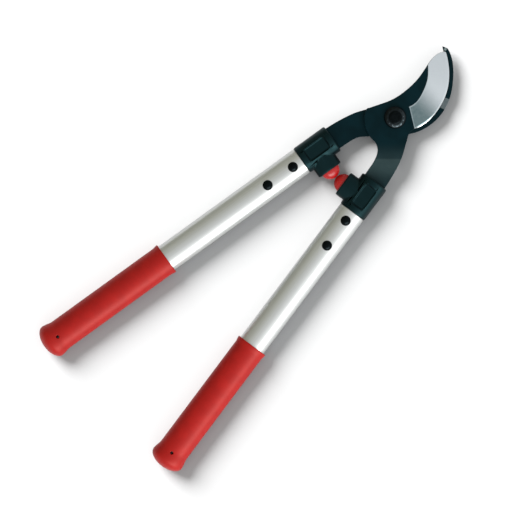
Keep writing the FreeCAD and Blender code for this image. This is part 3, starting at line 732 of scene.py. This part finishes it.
def store_flow(piece, handle):
    """Store at each point its place in the handle's frame, up, backward and outward, in mm."""
    points = np.empty(len(piece.data.vertices) * 3)
    piece.data.vertices.foreach_get("co", points)
    local = (points.reshape(-1, 3) - handle.foot) @ handle.axes.T / MM
    attribute = piece.data.attributes.new("flow", "FLOAT_VECTOR", "POINT")
    attribute.data.foreach_set("vector", local[:, ::-1].astype(np.float32).ravel())


class LOPPERS_OT_sockets(bpy.types.Operator):
    """Make the two socket mouldings that hold the levers, the tubes and the bumpers"""

    bl_idname = "loppers.sockets"
    bl_label = "Sockets"

    def execute(self, context):
        look = context.scene.lopper_handles
        nylon = moulded_nylon("socket_nylon_black", look.nylon)
        for side in SIDES:
            piece = softened(side + "_socket", side + "_moulding", look.socket_round, sharp=28)
            finish_piece(piece, [side + "_socket"], [nylon], BODY[side])
        return {"FINISHED"}


class LOPPERS_OT_bumpers(bpy.types.Operator):
    """Make the two red rubber bumpers"""

    bl_idname = "loppers.bumpers"
    bl_label = "Bumpers"

    def execute(self, context):
        look = context.scene.lopper_handles
        rubber = red_rubber("bumper_red", look.rubber, look.rubber_deep)
        for side in SIDES:
            piece = self.stop(side, HANDLES[side])
            finish_piece(piece, [side + "_bumper"], [rubber], BODY[side])
        return {"FINISHED"}

    def stop(self, side, handle):
        """Bumper from its stem inside the cup out to its nose.

        The dome is the cap of a ball of radius (half^2 + tall^2) / (2 tall), and every section across
        it is an ellipse. The stem is three quarters as wide as the dome.
        """
        low, high = handle.extent("bumper")
        face = handle.extent("socket")[0][0]
        middle = (low[1] + high[1]) / 2
        half, rise = (high[1] - low[1]) / 2, (high[2] - low[2]) / 2
        tall = face - low[0]
        ball = (half ** 2 + tall ** 2) / (2 * tall)
        angle = np.linspace(math.acos(min(1.0, (ball - tall) / ball)), 0.02, 24)
        out = np.concatenate([[high[0], face], low[0] + ball - ball * np.cos(angle)])[:, None]
        share = np.concatenate([[0.75, 0.75], ball * np.sin(angle) / half])[:, None]
        around = turn(72)[None]
        rings = handle.place(out, middle + half * share * np.cos(around), rise * share * np.sin(around))
        foot, nose = handle.place(high[0], middle, 0), handle.place(low[0], middle, 0)
        return add_mesh(side + "_stop", *skin(rings, foot, nose))


class LOPPERS_OT_tubes(bpy.types.Operator):
    """Make the two oval handle tubes and finish the plugs that close them"""

    bl_idname = "loppers.tubes"
    bl_label = "Tubes"

    def execute(self, context):
        look = context.scene.lopper_handles
        satin = anodised_aluminium("satin_aluminium", look.aluminium)
        black = moulded_nylon("plug_black", (0.02, 0.02, 0.022))
        wall, ease = 1.8 * MM, 0.3 * MM
        # inset and back go once round the wall's section: how far inside the outer oval, how far back
        inset = np.array([ease, 0, 0, ease, wall - ease, wall, wall, wall - ease])
        for side in SIDES:
            handle = HANDLES[side]
            half, length, rise = handle.extent("tube")[1]
            back = np.array([0, ease, length - ease, length, length, length - ease, ease, 0])
            rings = ovals(handle, half - inset, rise - inset, back, look.corners)
            piece = add_mesh(side + "_pipe", *skin(rings, closed=True), smooth_angle=40)
            store_flow(piece, handle)
            finish_piece(piece, [side + "_tube"], [satin], BODY[side])
            refinish(side + "_end_plug", black)
        return {"FINISHED"}


class LOPPERS_OT_rivets(bpy.types.Operator):
    """Make the domed rivets through tube, socket and tang"""

    bl_idname = "loppers.rivets"
    bl_label = "Rivets"

    def execute(self, context):
        black = blacked_metal("black_rivet", context.scene.lopper_head.fastener)
        for side in SIDES:
            handle = HANDLES[side]
            low, high = handle.extent("rivets")
            tube = handle.extent("tube")[1]
            radius = (high[0] - low[0]) / 2
            front = self.rivet(handle, low[1] + radius, radius, high[2], tube)
            rear = self.rivet(handle, high[1] - radius, radius, high[2], tube)
            faces = front[1] + [block + len(front[0]) for block in rear[1]]
            piece = add_mesh(side + "_rivet_pair", np.vstack([front[0], rear[0]]), faces)
            finish_piece(piece, [side + "_rivets"], [black], BODY[side])
        return {"FINISHED"}

    def rivet(self, handle, back, radius, top, tube):
        """One rivet from its upper dome down its shank to its lower dome.

        A dome is the cap of a ball through the rim and the crown. Its rim follows the tube,
        whose height at distance x from the axis is b sqrt(1 - (x / a)^2).
        """
        half, _, crown = tube
        tall = top - crown
        ball = (tall ** 2 + radius ** 2) / (2 * tall)
        sunk, shank, shoulder = 0.1 * MM, 2.5 * MM, 1.0 * MM
        lean = np.linspace(0.03, math.asin(radius / ball), 20)[:, None]
        around = turn(48)[None]
        height = top - ball + ball * np.cos(lean) + 0 * around
        edge = crown * np.sqrt(1 - (radius * np.cos(around) / half) ** 2) - sunk
        reach = np.vstack([ball * np.sin(lean), [[radius], [shank]]])
        upper = np.vstack([height, edge, np.full_like(edge, crown - shoulder)])
        reach = np.vstack([reach, reach[::-1]])
        height = np.vstack([upper, -upper[::-1]])
        rings = handle.place(reach * np.cos(around), back + reach * np.sin(around), height)
        return skin(rings, handle.place(0, back, top), handle.place(0, back, -top))


class LOPPERS_OT_grips(bpy.types.Operator):
    """Make the two red grips with their rims, flares, rounded ends and hang holes"""

    bl_idname = "loppers.grips"
    bl_label = "Grips"
    hole_from_end = 17 * MM

    def execute(self, context):
        look = context.scene.lopper_handles
        vinyl = dipped_vinyl("grip_red", look.vinyl, look.vinyl_deep)
        for side in SIDES:
            handle = HANDLES[side]
            low, high = handle.extent("grip")
            tube, plug = handle.extent("tube")[1], handle.extent("end_plug")[1]
            half, rise, back = self.profile(low, high, tube, plug)
            rings = ovals(handle, half[1:-1], rise[1:-1], back[1:-1], look.corners)
            ends = [handle.place(0, value, 0) for value in (back[0], back[-1])]
            piece = add_mesh(side + "_sleeve", *skin(rings, *ends), smooth_angle=50)
            self.pierce(piece, handle, high[1] - self.hole_from_end, high[2])
            store_flow(piece, handle)
            finish_piece(piece, [side + "_grip"], [vinyl], BODY[side])
        return {"FINISHED"}

    def profile(self, low, high, tube, plug):
        """Half width, half height and station from the bore's end out to the rounded tip.

        The rim fades into the barrel as (1 + cos) / 2, the flare grows the same way, and the
        tip is a quarter of an ellipse.
        """
        lip, flare, cap, flare_length, fade = 0.75 * MM, 1.75 * MM, 9.8 * MM, 11.2 * MM, 6.0 * MM
        edge, aspect, barrel = 0.7 * MM, high[2] / high[0], high[0] - flare
        front, shoulder = low[1], high[1] - cap
        faded, swelling = front + edge + fade, shoulder - flare_length
        nose = arc((barrel + lip - edge, front + edge), edge, -90, 0, 7)
        share = np.linspace(0, 1, 14)[1:]
        fall = np.stack([barrel + lip * (1 + np.cos(math.pi * share)) / 2, front + edge + fade * share], -1)
        straight = np.linspace(faded, swelling, 32)[1:-1]
        middle = np.stack([np.full_like(straight, barrel), straight], -1)
        share = np.linspace(0, 1, 20)
        swell = np.stack([barrel + flare * (1 - np.cos(math.pi * share)) / 2,
                          shoulder - flare_length * (1 - share)], -1)
        angle = np.linspace(0, math.pi / 2, 26)[1:-1]
        tip = np.stack([high[0] * np.cos(angle), shoulder + cap * np.sin(angle)], -1)
        outer = np.vstack([nose, fall, middle, swell, tip])
        bore = np.array([(0, plug[1]), (tube[0], plug[1]), (tube[0], front)])
        half = np.concatenate([bore[:, 0], outer[:, 0], [0]])
        rise = np.concatenate([bore[:, 0] * tube[2] / tube[0], outer[:, 0] * aspect, [0]])
        back = np.concatenate([bore[:, 1], outer[:, 1], [high[1]]])
        return half, rise, back

    def pierce(self, piece, handle, back, top):
        """Cut the hang hole with a bar that widens near both faces, so that its rims are rounded.

        The bar's radius is radius + round_over d^2, where d grows from 0 to 1.4 towards its ends.
        """
        radius, round_over = 1.6 * MM, 0.5 * MM
        height = np.concatenate([np.linspace(-1, -0.93, 8), np.linspace(0.93, 1, 8)]) * top * 1.04
        depth = np.clip((np.abs(height) - (top - 1.2 * round_over)) / round_over, 0, 1.4)
        width = (radius + round_over * depth ** 2)[:, None]
        around = turn(40)[None]
        rings = handle.place(width * np.cos(around), back + width * np.sin(around), height[:, None])
        ends = [handle.place(0, back, value) for value in (height[0], height[-1])]
        bar = add_mesh("hole_bar", *skin(rings, *ends))
        cut = piece.modifiers.new("Hang hole", "BOOLEAN")
        cut.operation, cut.object, cut.solver = "DIFFERENCE", bar, "EXACT"
        bpy.context.view_layer.objects.active = piece
        bpy.ops.object.modifier_apply(modifier=cut.name)
        bpy.data.objects.remove(bar)


# ---------------------------------------------------------------- stage

class LOPPERS_OT_stage(bpy.types.Operator):
    """Set the camera square above the tool, on a plain pale floor under soft lights"""

    bl_idname = "loppers.stage"
    bl_label = "Stage"

    def execute(self, context):
        look = context.scene.lopper_stage
        middle = Vector((*look.aim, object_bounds()[1].z / 2))
        self.camera(context, look, middle)
        self.lights(context, look, middle, self.floor(context, look))
        return {"FINISHED"}

    def camera(self, context, look, middle):
        """Camera that looks straight down from so high that it sees frame_width of the floor."""
        data = bpy.data.cameras.new("camera")
        data.lens = look.lens
        camera = bpy.data.objects.new("camera", data)
        distance = look.frame_width * data.lens / data.sensor_width
        camera.location = middle + Vector((0, 0, distance))
        camera.rotation_euler = (0, 0, look.turned)
        data.clip_end = 10 * distance
        context.scene.collection.objects.link(camera)
        context.scene.camera = camera
        context.scene.view_settings.view_transform = "Standard"

    def floor(self, context, look):
        """Pale square card, 12 m wide, that the tool lies on."""
        half = 6.0
        corners = [(-half, -half, 0), (half, -half, 0), (half, half, 0), (-half, half, 0)]
        mesh = bpy.data.meshes.new("floor")
        mesh.from_pydata(corners, [], [(0, 1, 2, 3)])
        floor = bpy.data.objects.new("floor", mesh)
        context.scene.collection.objects.link(floor)
        card = material("pale_floor")
        mesh.materials.append(card.set(Base_Color=look.floor, Roughness=0.9, Specular_IOR_Level=0.1))
        floor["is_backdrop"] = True
        return floor

    def lights(self, context, look, middle, floor):
        """A room that is brighter towards +X, a soft box for the tool and a soft lamp for the floor."""
        room = Shader(bpy.data.worlds.new("room"), "Background")
        rightward = room.parts(room.node("ShaderNodeTexCoord", {}, {}, "Generated"))[0]
        warm, cool = (1.0, 1.0, 0.82), (0.97, 0.99, 1.0)
        tint = room.blend(room.grade(rightward, -0.9, 0.1), warm, cool)
        context.scene.world = room.set(Color=tint, Strength=look.world + look.lean * rightward)

        box = bpy.data.lights.new("soft_box", "AREA")
        box.shape, box.size, box.size_y, box.energy = "RECTANGLE", 1.6, 0.6, look.box_power
        self.hang(context, box, middle, -20, floor, "EXCLUDE")
        lamp = bpy.data.lights.new("floor_lamp", "SUN")
        lamp.angle, lamp.energy = look.lamp_angle, look.lamp_strength
        self.hang(context, lamp, middle, 180, floor, "INCLUDE")

    def hang(self, context, data, middle, azimuth, floor, link):
        """Hang a light that faces the middle from azimuth degrees round from +X.

        It lights the floor alone, or with EXCLUDE everything but the floor.
        """
        light = bpy.data.objects.new(data.name, data)
        distance, around, above = 1.6, math.radians(azimuth), math.radians(37)
        offset = Vector((math.cos(around) * math.cos(above), math.sin(around) * math.cos(above),
                         math.sin(above)))
        light.location = middle + distance * offset
        light.rotation_euler = offset.to_track_quat("Z", "Y").to_euler()
        context.scene.collection.objects.link(light)
        receivers = bpy.data.collections.new(data.name + "_receivers")
        receivers.objects.link(floor)
        receivers.collection_objects[0].light_linking.link_state = link
        light.light_linking.receiver_collection = receivers


# ---------------------------------------------------------------- panel and run

class LOPPERS_PT_panel(bpy.types.Panel):
    """Sidebar panel that lists the pieces"""

    bl_label = "Loppers"
    bl_idname = "LOPPERS_PT_panel"
    bl_space_type = "VIEW_3D"
    bl_region_type = "UI"
    bl_category = "Loppers"

    def draw(self, context):
        for operator in OPERATORS:
            self.layout.operator(operator.bl_idname)
        for group in (context.scene.lopper_head, context.scene.lopper_handles, context.scene.lopper_stage):
            box = self.layout.box()
            for name in group.bl_rna.properties.keys():
                if name not in {"rna_type", "name"}:
                    box.prop(group, name)


OPERATORS = (LOPPERS_OT_levers, LOPPERS_OT_pivot, LOPPERS_OT_sockets, LOPPERS_OT_bumpers,
             LOPPERS_OT_tubes, LOPPERS_OT_rivets, LOPPERS_OT_grips, LOPPERS_OT_stage)
GROUPS = {"lopper_head": LopperHeadSettings, "lopper_handles": LopperHandleSettings,
          "lopper_stage": LopperStageSettings}


def register():
    for group in (*GROUPS.values(), *OPERATORS, LOPPERS_PT_panel):
        bpy.utils.register_class(group)
    for name, group in GROUPS.items():
        setattr(bpy.types.Scene, name, PointerProperty(type=group))


def unregister():
    for name in GROUPS:
        delattr(bpy.types.Scene, name)
    for group in (LOPPERS_PT_panel, *OPERATORS, *GROUPS.values()):
        bpy.utils.unregister_class(group)


def main():
    """Build everything in order."""
    register()
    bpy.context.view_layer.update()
    bpy.ops.loppers.levers()
    bpy.ops.loppers.pivot()
    bpy.ops.loppers.sockets()
    bpy.ops.loppers.bumpers()
    bpy.ops.loppers.tubes()
    bpy.ops.loppers.rivets()
    bpy.ops.loppers.grips()
    bpy.ops.loppers.stage()


if __name__ == "__main__":
    main()
